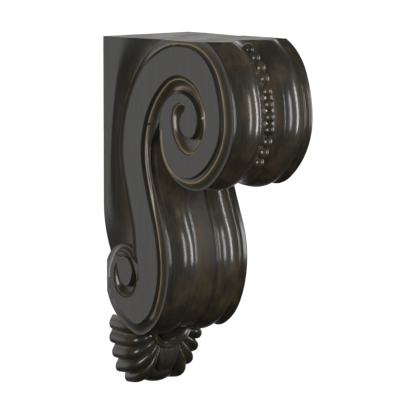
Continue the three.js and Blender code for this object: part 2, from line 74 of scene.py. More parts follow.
BACK = ((126.6, -6.2), 174.0, [
    (71.9, 52.1), (122.8, 21.1), (130.5, 16.6), (102.8, 21.3),
    (1867.6, 1.3), (116.3, -12.0), (2775.0, -0.9),
])
# Lower channel: pairs of points on its outer edge and on the edge of the eye's flat
LOWER_CHANNEL = [
    ((19.0, -219.5), (18.5, -224.0)), ((27.7, -216.7), (25.0, -226.0)), ((37.1, -218.9), (33.0, -225.2)),
    ((44.5, -226.0), (39.5, -229.0)), ((50.9, -239.3), (44.2, -238.0)), ((52.4, -250.5), (43.0, -245.0)),
    ((48.0, -261.3), (40.0, -251.5)), ((38.5, -267.4), (35.0, -255.0)), ((27.4, -266.5), (29.5, -253.5)),
    ((19.5, -261.1), (26.0, -250.0)), ((15.8, -252.0), (24.0, -244.9)), ((15.5, -241.0), (21.5, -238.0)),
    ((18.5, -233.0), (20.0, -232.5)),
]
UPPER_EYE = (131.0, -83.0)
WEDGE_TIP = (80.0, -84.0)
VOLUTE_END_RUN = 331.0
STEM_HEAD = (97.5, -50.0)
STEM_TOP = (119.5, 16.0)
VOLUTE_BACK = (97.0, -45.0)


def deselect():
    bpy.ops.object.select_all(action="DESELECT")


def pick(piece):
    deselect()
    piece.select_set(True)
    bpy.context.view_layer.objects.active = piece


def apply_modifier(piece, name, kind, **settings):
    modifier = piece.modifiers.new(name, kind)
    for key, value in settings.items():
        setattr(modifier, key, value)
    pick(piece)
    bpy.ops.object.modifier_apply(modifier=name)


def mesh_piece(name, points, faces):
    mesh = bpy.data.meshes.new(name)
    mesh.from_pydata(points, [], faces)
    piece = bpy.data.objects.new(name, mesh)
    bpy.context.scene.collection.objects.link(piece)
    pick(piece)
    bpy.ops.object.mode_set(mode="EDIT")
    bpy.ops.mesh.select_all(action="SELECT")
    bpy.ops.mesh.remove_doubles(threshold=MERGE_DISTANCE)
    bpy.ops.mesh.normals_make_consistent(inside=False)
    bpy.ops.object.mode_set(mode="OBJECT")
    return piece


def skin(name, rings):
    """A closed skin over rings of equal length, with a flat face at each end."""
    count = len(rings[0])
    points = [point for ring in rings for point in ring]
    faces = []
    for r in range(len(rings) - 1):
        for i in range(count):
            a, b = r * count + i, r * count + (i + 1) % count
            faces.append((a, b, b + count, a + count))
    last = (len(rings) - 1) * count
    faces.append(tuple(range(count))[::-1])
    faces.append(tuple(range(last, last + count)))
    return mesh_piece(name, points, faces)


def blend(a, b, share):
    return a + (b - a) * share


def smooth(value, start, end):
    share = min(max((value - start) / (end - start), 0.0), 1.0)
    return share * share * (3.0 - 2.0 * share)


def arc_chain(start, heading, arcs, step=STEP, turn_step=TURN_STEP):
    """Points along a chain of arcs: (p, z, heading, run)."""
    p, z = start
    h = math.radians(heading)
    run = 0.0
    points = [(p, z, h, run)]
    for radius, turn in arcs:
        side = math.copysign(1.0, turn)
        sweep = math.radians(turn)
        length = radius * abs(sweep)
        count = max(1, math.ceil(length / step), math.ceil(abs(turn) / turn_step))
        centre = (p - side * radius * math.sin(h), z + side * radius * math.cos(h))
        for i in range(1, count + 1):
            at = h + sweep * i / count
            points.append((
                centre[0] + side * radius * math.sin(at),
                centre[1] - side * radius * math.cos(at),
                at,
                run + length * i / count,
            ))
        h += sweep
        run += length
        p, z = points[-1][:2]
    return points


def to_right(place, distance):
    p, z, h = place[:3]
    return (p + distance * math.sin(h), z - distance * math.cos(h))


def world(x, spot):
    return (x, -spot[0], spot[1])


def profile(*stops):
    """A moulding's section: each stop is (across, up) or (across, up, bow, steps).
    The bow is how far the arc to that stop stands off its chord, to the left of the way there."""
    points = [stops[0][:2]]
    for stop in stops[1:]:
        (x0, y0), (x1, y1) = points[-1], stop[:2]
        bow, steps = stop[2:] if len(stop) > 2 else (0.0, 1)
        chord = math.hypot(x1 - x0, y1 - y0)
        left = (-(y1 - y0) / chord, (x1 - x0) / chord)
        for i in range(1, steps + 1):
            share = i / steps
            lift = 4.0 * bow * share * (1.0 - share)
            points.append((blend(x0, x1, share) + lift * left[0], blend(y0, y1, share) + lift * left[1]))
    return points


# Front band, from the middle out: (x, rise over the edge)
UPPER_BAND = profile(
    (0.0, -5.6), (15.2, -0.9, -1.1, 10), (15.7, -0.5), (16.8, -0.5),
    (41.0, -1.5, 2.7, 16), (42.2, -2.0), (43.0, -2.1), (52.8, -1.3, -2.6, 10), (54.0, 0.0, -0.2, 2),
)
STEM_BAND = profile(
    (0.0, -2.6), (13.4, -2.6, 0.0, 4), (15.4, -0.7, -0.4, 3), (15.8, -0.4), (16.8, -0.4),
    (41.0, -1.5, 2.5, 16), (42.2, -2.1), (43.0, -2.3), (52.8, -1.3, -2.6, 10), (54.0, 0.0, -0.2, 2),
)


def crease_profile(ridge, groove, crest):
    """From a flat's edge out: (distance, depth) down into the crease and up to the ridge beside it."""
    return profile(
        (0.0, 0.0), (0.07 * ridge, 0.06 * groove), (0.14 * ridge, 0.3 * groove), (0.22 * ridge, 0.9 * groove),
        (0.4 * ridge, groove, 0.02 * ridge, 2), (0.86 * ridge, crest + 0.25, 0.05 * ridge, 4),
        (ridge, crest, -0.03 * ridge, 2), (1.14 * ridge, crest + 0.25, -0.03 * ridge, 2),
    )


def rim_outside(width, ridge, groove, crest):
    """A side rim from the outer edge in: (distance, depth), with its ridge and the crease by the flat."""
    inner = crease_profile(ridge, groove, crest)
    start = (width - inner[-1][0], inner[-1][1])
    cove = profile((0.0, RIM_DROP), (0.5, RIM_DROP - 0.1), (1.0, RIM_DROP), (*start, 0.5, 9))
    return cove[:-1] + [(width - d, depth) for d, depth in reversed(inner)]


# Side rim, from the edge in: (distance, depth below the side face)
UPPER_RIM = rim_outside(17.0, 7.2, 2.8, 1.0)
UPPER_RIM_TOP = rim_outside(12.6, 3.2, 2.8, 1.0)
RIM_STEPS = len(UPPER_RIM) - 1
PLAIN_WIDTH = 11.8
PLAIN_ROUNDING = 2.4
PLAIN_RIM = [
    (PLAIN_WIDTH * i / RIM_STEPS, RIM_DROP * (1.0 - (i / RIM_STEPS) ** PLAIN_ROUNDING))
    for i in range(RIM_STEPS + 1)
]
RIM_END_WIDTH = 0.25
RIM_END_DEPTH = 0.6
RIM_END = [(RIM_END_WIDTH * d, min(depth, RIM_END_DEPTH)) for d, depth in UPPER_RIM]


def rim_between(a, b, share):
    return [(blend(d0, d1, share), blend(e0, e1, share)) for (d0, e0), (d1, e1) in zip(a, b)]


# Points on the carved ridges that the finish is rubbed off, each with its strength
rubbed_points = []
RIDGE_PLACE = len(crease_profile(1.0, 1.0, 1.0)) - 3
RIM_RIDGE_PLACE = len(UPPER_RIM) - 1 - RIDGE_PLACE
RUB_PARTS = 4


def rub_ridge(points, first, last=None):
    """The strength runs evenly from the first point to the last."""
    last = first if last is None else last
    for i in range(len(points) - 1):
        for k in range(RUB_PARTS):
            part = k / RUB_PARTS
            strength = blend(first, last, (i + part) / (len(points) - 1))
            rubbed_points.append((Vector(points[i]).lerp(points[i + 1], part), strength))


def mirrored(ring):
    return [(-x, y, z) for x, y, z in ring]


# Where a wider edge starts to spread the front band
SPREAD_FROM = 40.0


def moulded_body(name, edge, inside, band, rubbed=0):
    """A body whose edge carries the front band and a rim on both sides.
    Each place of the edge is (p, z, heading, run, band's share, x of the edge, rim)."""
    half = []
    for x, rise in band[:-1]:
        spreading = smooth(x, SPREAD_FROM, EDGE_X)
        ring = []
        for place in edge:
            spread = (place[5] - EDGE_X) * spreading
            ring.append(world(x + spread, to_right(place, -rise * place[4])))
        ring += [world(x + (edge[-1][5] - EDGE_X) * spreading, spot) for spot in inside]
        half.append(ring)
    for i in range(len(edge[0][6])):
        ring = []
        for place in edge:
            inset, depth = place[6][i]
            ring.append(world(HALF_WIDTH - depth, to_right(place, inset)))
        ring += [world(HALF_WIDTH - edge[-1][6][i][1], spot) for spot in inside]
        half.append(ring)
        if i == RIM_RIDGE_PLACE and rubbed:
            rub_ridge(ring[:rubbed], 1.0)
            rub_ridge(mirrored(ring[:rubbed]), 1.0)
    left = [mirrored(ring) for ring in half[:0:-1]]
    return skin(name, left + half)


# Upper volute's rim: narrow at its start, growing along the run in millimetres, then fading out
# towards the spiral, as shares of the whole run
RIM_NARROWED = 0.79
RIM_NARROWED_RUN = 20.0
RIM_GROWS = (12.0, 110.0)
RIM_FADES = (0.63, 0.86)
VOLUTE_END_INSET = 0.6


def upper_volute():
    chain = arc_chain(*FRONT)
    end = chain[-1][3]
    fade_from, fade_to = (share * end for share in RIM_FADES)
    edge = []
    for p, z, h, run in [place for place in chain if place[3] < VOLUTE_END_RUN]:
        fade = smooth(run, fade_from, fade_to)
        narrowed = blend(RIM_NARROWED, 1.0, smooth(run, 0.0, RIM_NARROWED_RUN))
        top = [(narrowed * d, depth) for d, depth in UPPER_RIM_TOP]
        rim = rim_between(rim_between(top, UPPER_RIM, smooth(run, *RIM_GROWS)), RIM_END, fade)
        edge_x = blend(EDGE_X, HALF_WIDTH - VOLUTE_END_INSET, fade)
        edge.append((p, z, h, run, 1.0 - smooth(run, fade_to, end), edge_x, rim))
    return moulded_body("upper_volute", edge, [WEDGE_TIP, VOLUTE_BACK], UPPER_BAND, len(edge))


# Stem's rim: ridge and groove go from their first size to their second along the run in millimetres,
# and the rim ends in a plain one, as shares of the whole run
STEM_CREASE_RUN = 260.0
STEM_SETTLES = (10.0, 120.0)
STEM_RIDGE = (6.0, 4.4)
STEM_GROOVE = (4.2, 3.6)
STEM_CREST = 1.4
STEM_RIM_ENDS = (0.60, 0.72)
STEM_BAND_FULL = 0.08
STEM_RUBBED_TO = 0.68


def stem_and_block():
    chain = arc_chain(*STEM)
    end = chain[-1][3]
    plain_from, plain_at = (share * end for share in STEM_RIM_ENDS)
    crease = [place[:2] for place in arc_chain(*CREASE, step=1.0) if place[3] < STEM_CREASE_RUN]
    edge = []
    for p, z, h, run in chain:
        width = min(math.hypot(p - q[0], z - q[1]) for q in crease)
        down = smooth(run, *STEM_SETTLES)
        fitted = rim_outside(width, blend(*STEM_RIDGE, down), blend(*STEM_GROOVE, down), STEM_CREST)
        rim = rim_between(fitted, PLAIN_RIM, smooth(run, plain_from, plain_at))
        edge.append((p, z, h, run, smooth(run, 0.0, STEM_BAND_FULL * end), EDGE_X, rim))
    inside = [(-OVERCUT, chain[-1][1]), (-OVERCUT, STEM_TOP[1]), STEM_TOP, STEM_HEAD, WEDGE_TIP]
    rubbed = sum(place[3] < STEM_RUBBED_TO * end for place in chain)
    return moulded_body("corbel", edge, inside, STEM_BAND, rubbed)


# Lower volute's lip, whose rim narrows along its run, and the drum's own inner outline
LIP_NARROWED = 0.38
LIP_NARROWS = (40.0, 66.0)
DRUM_INSIDE = [(54.0, -232.0), (52.0, -258.0), (30.0, -268.0), (10.0, -272.0)]


def lower_drum():
    p, z, h, _ = arc_chain(*STEM)[-1]
    narrow = [(LIP_NARROWED * d, depth) for d, depth in PLAIN_RIM]
    edge = []
    for place in arc_chain((p, z), math.degrees(h), LIP):
        rim = rim_between(PLAIN_RIM, narrow, smooth(place[3], *LIP_NARROWS))
        edge.append((*place, 0.0, EDGE_X, rim))
    return moulded_body("lower_drum", edge, DRUM_INSIDE, STEM_BAND)


# Sunk field behind the ribbon: the rim's (distance out from the crease, depth), then the dish
BACK_RIM = profile(
    (0.0, 0.0), (0.35, 0.1), (0.8, 0.6), (1.3, 3.2), (1.9, 3.9, 0.0, 2),
    (10.1, 2.3, 0.9, 13), (10.6, 2.7, -0.1, 2), (11.6, 7.6),
)
BACK_RIM_TOP = crease_profile(3.4, 2.8, 1.0)
BACK_RIM_TOP += profile(BACK_RIM_TOP[-1], (10.1, 2.3, 0.7, 5), (10.6, 2.7, -0.1, 2), (11.6, 7.6))[1:]
FIELD_DEPTH = 8.6
FIELD_TOP_DEPTH = 8.0
FIELD_STEEPNESS = 0.32
FIELD_FULL_AT = -70.0
FIELD_RISE = 30.0
FIELD_SPREAD = (-35.0, 20.0)
FIELD_COUNT = 14
DISH = (-0.1, 0.76)
STRIP_AT_TOP = 24.0
STRIP_END = -172.0
SINK_END = -222.0
SINK = 9.0
FIELD_RIM_SETTLES = (30.0, 80.0)
TOP_RIDGE_RUN = 70.0
CREST_PLACE = -3
CREST_RUB = (0.32, 0.2)
TOP_RIDGE_RUB = (0.9, 0.0)


def field_cutter(side):
    outer = side * (HALF_WIDTH + OVERCUT)
    rings = []
    crest = []
    top_ridge = []
    for place in arc_chain(*BACK):
        section = rim_between(BACK_RIM_TOP, BACK_RIM, smooth(place[3], *FIELD_RIM_SETTLES))
        foot = to_right(place, BACK_RIM[-1][0])
        down = min(max((foot[1] - STRIP_END) / (SINK_END - STRIP_END), 0.0), 1.0)
        strip = STRIP_AT_TOP * (1.0 - foot[1] / STRIP_END)
        reach = smooth(-foot[1], *FIELD_SPREAD)
        rise = FIELD_RISE * smooth(foot[1], STRIP_END, 0.0)
        end = (blend(foot[0], max(strip, -OVERCUT), reach), foot[1] + rise)
        sink = SINK * down * down
        dished = blend(FIELD_TOP_DEPTH, FIELD_DEPTH, smooth(-foot[1], 0.0, -FIELD_FULL_AT))
        full = max(min(dished, FIELD_STEEPNESS * math.dist(foot, end)), sink)
        rim = [world(side * (HALF_WIDTH - min(depth, full)), to_right(place, d)) for d, depth in section]
        floor = []
        for i in range(1, FIELD_COUNT):
            share = i / FIELD_COUNT
            depth = sink + (full - sink) * (1.0 - smooth(share, *DISH))
            spot = (blend(foot[0], end[0], share), blend(foot[1], end[1], share))
            floor.append(world(side * (HALF_WIDTH - depth), spot))
        close = [world(side * (HALF_WIDTH - sink), end), world(outer, end)]
        rings.append([world(outer, to_right(place, 0.0)), *rim, *floor, *close])
        crest.append(rim[CREST_PLACE])
        if place[3] < TOP_RIDGE_RUN:
            top_ridge.append(rim[RIDGE_PLACE])
    rub_ridge(crest, *CREST_RUB)
    rub_ridge(top_ridge, *TOP_RIDGE_RUB)
    return skin("field_cutter", rings)


def ray_meeting(chain, eye):
    """The place where a spiral crosses the ray at a given angle from its eye."""
    angles = []
    turned = None
    for place in chain:
        raw = math.atan2(place[1] - eye[1], place[0] - eye[0])
        if turned is None:
            turned = raw + 2.0 * math.pi if raw < 0.0 else raw
        turned += math.remainder(raw - turned, 2.0 * math.pi)
        angles.append(turned)

    def meet(angle):
        for i in range(1, len(angles)):
            if angles[i] <= angle:
                share = min(max((angles[i - 1] - angle) / (angles[i - 1] - angles[i]), 0.0), 1.0)
                a, b = chain[i - 1], chain[i]
                return (blend(a[0], b[0], share), blend(a[1], b[1], share))
        return chain[-1][:2]

    return meet


# A channel's ridge, groove and crest, at most these shares of its width
CHANNEL_LIMITS = (0.34, 0.3, 0.12)


def channel_ring(side, outer, inner, depth, sizes, ledge=0.0):
    """The cutter's section between the crease and the edge of the inner flat, where the wall is steep.
    A ledge is a second ridge at the foot of that wall, as a share of the depth."""
    width = max(math.hypot(outer[0] - inner[0], outer[1] - inner[1]), 0.5)
    ridge, groove, crest = (min(size, limit * width) for size, limit in zip(sizes, CHANNEL_LIMITS))
    ledge_depth = (1.0 - ledge) * depth
    section = [(0.0, -OVERCUT)] + crease_profile(ridge, groove, crest)
    section += profile(
        section[-1], (0.66 * width, blend(0.9, 1.0, ledge) * depth, 0.05 * width, 8),
        (0.78 * width, ledge_depth), (0.81 * width, ledge_depth), (0.89 * width, 0.96 * depth),
        (0.97 * width, 0.1 * depth), (width, 0.0), (width, -OVERCUT),
    )[1:]
    ring = []
    for d, down in section:
        share = d / width
        spot = (blend(outer[0], inner[0], share), blend(outer[1], inner[1], share))
        ring.append(world(side * (HALF_WIDTH - down), spot))
    return ring


# Upper channel, between two angles about the eye; its sizes are given at the eye and at the outside
CHANNEL_FIRST = 203.0
CHANNEL_LAST = -262.0
CHANNEL_STEP = 4.0
CHANNEL_DEPTH = 6.4
CHANNEL_LEAST = 0.3
CHANNEL_FULL_WIDTH = 18.0
CHANNEL_RIDGE = (1.7, 6.0)
CHANNEL_GROOVE = (1.4, 4.2)
CHANNEL_CREST = (0.8, 1.4)
CREASE_FROM = 150.0
INNER_TURN_FROM = 302.0
LEAST_SLANT = 0.5
NEAR_ANGLE = 0.02
CHANNEL_SHRINKS_FROM = 0.04
# The ledge rises and falls along the channel; its edge is counted along a section
LEDGE_PLACE = -7
LEDGE_HEIGHT = 0.45
LEDGE_RISES = (0.15, 0.22)
LEDGE_FALLS = (0.34, 0.46)
LEDGE_RUBBED = (0.16, 0.45)
LEDGE_RUB = 0.9


def upper_channel(side):
    start, heading, arcs = FRONT
    whole = arc_chain(start, heading, arcs + INNER_TURN, step=1.5)
    inner_turn = [place for place in whole if place[3] > INNER_TURN_FROM]
    crease = [place for place in arc_chain(*CREASE, step=1.5) if place[3] > CREASE_FROM]
    outer_at, inner_at = ray_meeting(crease, UPPER_EYE), ray_meeting(inner_turn, UPPER_EYE)
    count = round((CHANNEL_FIRST - CHANNEL_LAST) / CHANNEL_STEP)
    rings = []
    for i in range(count + 1):
        share = i / count
        angle = math.radians(blend(CHANNEL_FIRST, CHANNEL_LAST, share))
        outer, inner = outer_at(angle), inner_at(angle)
        ahead = Vector(outer_at(angle - NEAR_ANGLE)) - Vector(outer_at(angle + NEAR_ANGLE))
        width = math.hypot(outer[0] - inner[0], outer[1] - inner[1])
        slant = abs(ahead.normalized().cross((Vector(inner) - Vector(outer)).normalized()))
        depth = CHANNEL_DEPTH * min(1.0, CHANNEL_LEAST + width / CHANNEL_FULL_WIDTH)
        outside = (1.0 - max(share - CHANNEL_SHRINKS_FROM, 0.0)) ** 3
        ridge = blend(*CHANNEL_RIDGE, outside) / max(slant, LEAST_SLANT)
        sizes = (ridge, blend(*CHANNEL_GROOVE, outside), blend(*CHANNEL_CREST, outside))
        ledge = LEDGE_HEIGHT * smooth(share, *LEDGE_RISES) * (1.0 - smooth(share, *LEDGE_FALLS))
        rings.append(channel_ring(side, outer, inner, depth, sizes, ledge))
    rub_ridge([ring[1 + RIDGE_PLACE] for ring in rings], 1.0)
    first, last = (round(share * count) for share in LEDGE_RUBBED)
    rub_ridge([ring[LEDGE_PLACE] for ring in rings[first:last]], LEDGE_RUB)
    return skin("upper_channel", rings)


def spline(stops, share):
    """A point of the smooth curve through evenly timed stops."""
    last = len(stops) - 1
    i = min(int(share * last), last - 1)
    f = share * last - i
    a, b, c, d = (Vector(stops[min(max(k, 0), last)]) for k in (i - 1, i, i + 1, i + 2))
    square = 2.0 * a - 5.0 * b + 4.0 * c - d
    cube = 3.0 * b - a - 3.0 * c + d
    return 0.5 * (2.0 * b + (c - a) * f + square * f**2 + cube * f**3)


# Lower channel: it deepens and then shallows along its run, as shares of it
LOWER_PARTS = 6
LOWER_DEPTH = (0.6, 7.0)
LOWER_DEEPENS = (-0.05, 0.55)
LOWER_SHALLOWS = (0.7, 1.0)
LOWER_END = 0.25
LOWER_SIZES = (1.8, 1.5, 0.6)
LOWER_RUB = 0.5


def lower_channel(side):
    stops = [(*outer, *inner) for outer, inner in LOWER_CHANNEL]
    count = LOWER_PARTS * (len(stops) - 1)
    rings = []
    for i in range(count + 1):
        share = i / count
        p0, z0, p1, z1 = spline(stops, share)
        shallowed = blend(1.0, LOWER_END, smooth(share, *LOWER_SHALLOWS))
        depth = blend(*LOWER_DEPTH, smooth(share, *LOWER_DEEPENS)) * shallowed
        rings.append(channel_ring(side, (p0, z0), (p1, z1), depth, LOWER_SIZES))
    rub_ridge([ring[1 + RIDGE_PLACE] for ring in rings], LOWER_RUB)
    return skin("lower_channel", rings)


# The stem's back corner, cut away behind the lip of the lower volute
CORNER_CUT = [(-OVERCUT, -240.0), (7.0, -240.0), (7.0, -262.9), (-OVERCUT, -262.9)]
CORNER_DEPTH = 9.0


def corner_cutter(side):
    rings = []
    for x in (HALF_WIDTH - CORNER_DEPTH, HALF_WIDTH + OVERCUT):
        rings.append([world(side * x, spot) for spot in CORNER_CUT])
    return skin("corner_cutter", rings)


def boolean(piece, other, operation):
    apply_modifier(piece, "cut", "BOOLEAN", object=other, operation=operation, solver="MANIFOLD")
    bpy.data.objects.remove(other, do_unlink=True)


def keep_within(piece, low, high):
    """Keeps what lies inside a box, which leaves flat faces at the wall and the top."""
    middle = [(a + b) / 2.0 for a, b in zip(low, high)]
    deselect()
    bpy.ops.mesh.primitive_cube_add(size=1.0, location=middle, scale=[b - a for a, b in zip(low, high)])
    boolean(piece, bpy.context.active_object, "INTERSECT")


# Pearls
PEARL_COUNT = 11
PEARL_SPACING = 13.8
PEARL_FIRST = 57.0
PEARL_RADIUS = 6.8
PEARL_SINK = 7.2
PEARL_SEGMENTS = 24
PEARL_RINGS = 14


def pearls():
    chain = arc_chain(*FRONT, step=0.5)
    made = []
    for i in range(PEARL_COUNT):
        run = PEARL_FIRST + i * PEARL_SPACING
        place = next(spot for spot in chain if spot[3] >= run)
        p, z = to_right(place, PEARL_SINK)
        bpy.ops.mesh.primitive_uv_sphere_add(
            segments=PEARL_SEGMENTS, ring_count=PEARL_RINGS, radius=PEARL_RADIUS, location=(0.0, -p, z),
        )
        made.append(bpy.context.active_object)
    deselect()
    for pearl in made:
        pearl.select_set(True)
    bpy.context.view_layer.objects.active = made[0]
    bpy.ops.object.join()
    bpy.ops.object.transform_apply(location=True, rotation=True, scale=True)
    return made[0]


# Leaf drop: each lobe runs from the middle of the front round the corner to the wall,
# as stops of (x, p, z, half its height)
LOBES = [
    [
        (14.0, 34.0, -298.0, 6.0), (38.0, 35.0, -299.0, 8.0),
        (46.0, 23.0, -298.5, 8.3), (43.0, -4.0, -297.0, 7.6),
    ],
    [
        (15.0, 33.0, -306.0, 3.6), (35.0, 33.0, -311.5, 6.5),
        (44.0, 24.0, -313.5, 7.8), (43.5, -4.0, -311.5, 7.6),
    ],
    [
        (14.0, 33.0, -311.5, 3.2), (31.0, 31.0, -322.0, 6.0),
        (41.5, 22.0, -327.5, 7.6), (39.5, -4.0, -327.5, 7.6),
    ],
    [
        (13.0, 33.0, -317.0, 3.0), (26.0, 30.0, -332.0, 5.6),
        (36.0, 20.0, -341.0, 7.4), (35.0, -4.0, -343.5, 7.4),
    ],
    [
        (12.0, 32.5, -322.0, 2.8), (19.0, 29.0, -339.5, 5.4),
        (25.5, 19.0, -352.0, 7.6), (22.0, -4.0, -355.5, 7.6),
    ],
]
LOBE_BULGE = 7.4
LOBE_ROWS = 36
LOBE_TAPER = 0.55
LOBE_FULL_AT = 0.35
LOBE_RIDGE_PLACE = 4
LOBE_RUB = 0.75
# The way a lobe runs is read between two points this share of it to either side
NEAR = 0.01
# Section of a lobe: (outward, up), in shares of its bulge and half height, with a thin ridge along its top
LOBE_SECTION = [
    (-1.0, 0.1), (-0.5, 0.9), (0.05, 1.04), (0.42, 0.98), (0.56, 0.84), (0.6, 0.7), (0.74, 0.5), (0.92, 0.25),
    (1.0, 0.0), (1.0, -0.3), (0.9, -0.6), (0.66, -0.86), (0.3, -1.0), (-0.3, -0.95), (-0.9, -0.5),
]
CORE_HALF_WIDTH = 38.0
CORE_DEPTH = 29.0
CORE_TOP = -280.0
CORE_BOTTOM = -352.0
CORE_FOOT = 0.5
CORE_ROWS = 12
CORE_COLUMNS = 24
CORE_ROUNDNESS = 0.6


def lobe(stops, side):
    """The lobe's section carried along its stops, its outward side turned from the drop's own middle."""
    rings = []
    for i in range(LOBE_ROWS + 1):
        share = i / LOBE_ROWS
        x, p, z, height = spline(stops, share)
        ahead = spline(stops, min(share + NEAR, 1.0)) - spline(stops, max(share - NEAR, 0.0))
        ahead = Vector(ahead[:3]).normalized()
        outward = Vector((x, p, 0.0))
        outward = (outward - ahead * outward.dot(ahead)).normalized()
        up = ahead.cross(outward)
        if up.z < 0.0:
            up = -up
        taper = blend(LOBE_TAPER, 1.0, smooth(share, 0.0, LOBE_FULL_AT))
        ring = []
        for o, u in LOBE_SECTION:
            spot = Vector((x, p, z)) + outward * (o * LOBE_BULGE * taper) + up * (u * height)
            ring.append((side * spot.x, -spot.y, spot.z))
        rings.append(ring)
    rub_ridge([ring[LOBE_RIDGE_PLACE] for ring in rings], LOBE_RUB)
    return skin("lobe", rings)


def leaf_core():
    rings = []
    for i in range(CORE_ROWS + 1):
        share = i / CORE_ROWS
        size = blend(1.0, CORE_FOOT, share**2)
        z = blend(CORE_TOP, CORE_BOTTOM, share)
        ring = []
        for k in range(CORE_COLUMNS + 1):
            a = math.pi * k / CORE_COLUMNS
            x = math.copysign(abs(math.cos(a)) ** CORE_ROUNDNESS, math.cos(a))
            depth = CORE_DEPTH * size * math.sin(a) ** CORE_ROUNDNESS
            ring.append((CORE_HALF_WIDTH * size * x, -depth, z))
        ring.append((-CORE_HALF_WIDTH * size, OVERCUT, z))
        ring.append((CORE_HALF_WIDTH * size, OVERCUT, z))
        rings.append(ring)
    return skin("leaf_drop", rings)


OVAL_SEGMENTS = 48
OVAL_RINGS = 24


def oval(name, middle, radii, tilt):
    """A rounded boss of the drop, tilted about the x axis."""
    deselect()
    x, p, z = middle
    bpy.ops.mesh.primitive_uv_sphere_add(
        segments=OVAL_SEGMENTS, ring_count=OVAL_RINGS, radius=1.0, location=(x, -p, z), scale=radii,
        rotation=(math.radians(tilt), 0.0, 0.0),
    )
    piece = bpy.context.active_object
    piece.name = name
    bpy.ops.object.transform_apply(location=True, rotation=True, scale=True)
    return piece


# U-shaped hood under the stem's channel, and the tongue inside it
HOOD_MIDDLE = (39.0, -303.0)
HOOD_RADIUS = 21.0
HOOD_HEIGHT = 18.5
HOOD_LEAN = 0.22
HOOD_ROWS = 36
HOOD_SWEEP = (200.0, -20.0)
HOOD_FORWARD = 6.0
HOOD_BREADTH = 4.2
HOOD_RIDGE_PLACE = 3
HOOD_RUB = 0.6
HOOD_SECTION = [
    (-1.2, 0.0), (-1.0, 0.9), (0.1, 1.0), (0.7, 0.86), (0.95, 0.62), (0.8, 0.36), (0.5, 0.1), (0.3, -0.3),
    (0.1, -0.8), (-0.4, -1.0), (-1.0, -0.8),
]


def hood():
    rings = []
    forward = Vector((0.0, 1.0, 0.0))
    for i in range(HOOD_ROWS + 1):
        a = math.radians(blend(*HOOD_SWEEP, i / HOOD_ROWS))
        radial = Vector((math.cos(a), 0.0, -math.sin(a)))
        middle = Vector((
            radial.x * HOOD_RADIUS,
            HOOD_MIDDLE[0] + HOOD_LEAN * radial.z * HOOD_HEIGHT,
            HOOD_MIDDLE[1] + radial.z * HOOD_HEIGHT,
        ))
        ring = []
        for o, u in HOOD_SECTION:
            spot = middle + forward * (o * HOOD_FORWARD) + radial * (u * HOOD_BREADTH)
            ring.append((spot.x, -spot.y, spot.z))
        rings.append(ring)
    rub_ridge([ring[HOOD_RIDGE_PLACE] for ring in rings], HOOD_RUB)
    return skin("hood", rings)


# Front leaf, as stops of (x, p, z, half its width), and its section: (outward, across)
FRONT_LEAF = [
    (0.0, 30.0, -314.0, 14.0), (0.0, 31.5, -328.0, 15.0), (0.0, 30.0, -341.0, 12.5), (0.0, 24.0, -350.5, 9.5),
]
FRONT_LEAF_ROWS = 30
FRONT_LEAF_BULGE = 6.0
FRONT_LEAF_SECTION = [
    (-1.4, 0.6), (-0.2, 1.0), (0.55, 0.98), (0.8, 0.88), (0.72, 0.74), (0.62, 0.5), (0.74, 0.2), (0.8, 0.0),
    (0.74, -0.2), (0.62, -0.5), (0.72, -0.74), (0.8, -0.88), (0.55, -0.98), (-0.2, -1.0), (-1.4, -0.6),
]


def front_leaf():
    rings = []
    for i in range(FRONT_LEAF_ROWS + 1):
        x, p, z, width = spline(FRONT_LEAF, i / FRONT_LEAF_ROWS)
        rings.append([(u * width, -(p + o * FRONT_LEAF_BULGE), z) for o, u in FRONT_LEAF_SECTION])
    return skin("front_leaf", rings)


# Rounded bosses of the drop: middle as (x, p, z), radii and tilt
BOTTOM_BOSS = ((0.0, 12.0, -350.0), (22.0, 17.0, 13.0), 0.0)
TONGUE = ((0.0, 39.0, -300.0), (16.0, 6.5, 18.5), 12.0)


def leaf_drop():
    drop = leaf_core()
    for stops in LOBES:
        for side in (-1.0, 1.0):
            boolean(drop, lobe(stops, side), "UNION")
    boolean(drop, oval("bottom_boss", *BOTTOM_BOSS), "UNION")
    boolean(drop, front_leaf(), "UNION")
    boolean(drop, hood(), "UNION")
    boolean(drop, oval("tongue", *TONGUE), "UNION")
    return drop


# The box that the carving is cut to: the wall, the top face and room in front and below
BOX_LOW = (-HALF_WIDTH, -260.0, -420.0)
BOX_HIGH = (HALF_WIDTH, 0.0, 0.0)


def carved_corbel():
    corbel = stem_and_block()
    for side in (-1.0, 1.0):
        boolean(corbel, field_cutter(side), "DIFFERENCE")
        boolean(corbel, corner_cutter(side), "DIFFERENCE")
    boolean(corbel, lower_drum(), "UNION")
    boolean(corbel, upper_volute(), "UNION")

    for side in (-1.0, 1.0):
        boolean(corbel, upper_channel(side), "DIFFERENCE")
        boolean(corbel, lower_channel(side), "DIFFERENCE")
    boolean(corbel, leaf_drop(), "UNION")
    boolean(corbel, pearls(), "UNION")
    keep_within(corbel, BOX_LOW, BOX_HIGH)
    return corbel


# How far the rub of a ridge reaches: its bright line, and a faint halo around it
RUB_REACH = 1.0
RUB_HALO_REACH = 3.6
RUB_HALO = 0.2
FACE_MARGIN = 0.2
SMOOTH_ANGLE = 32.0


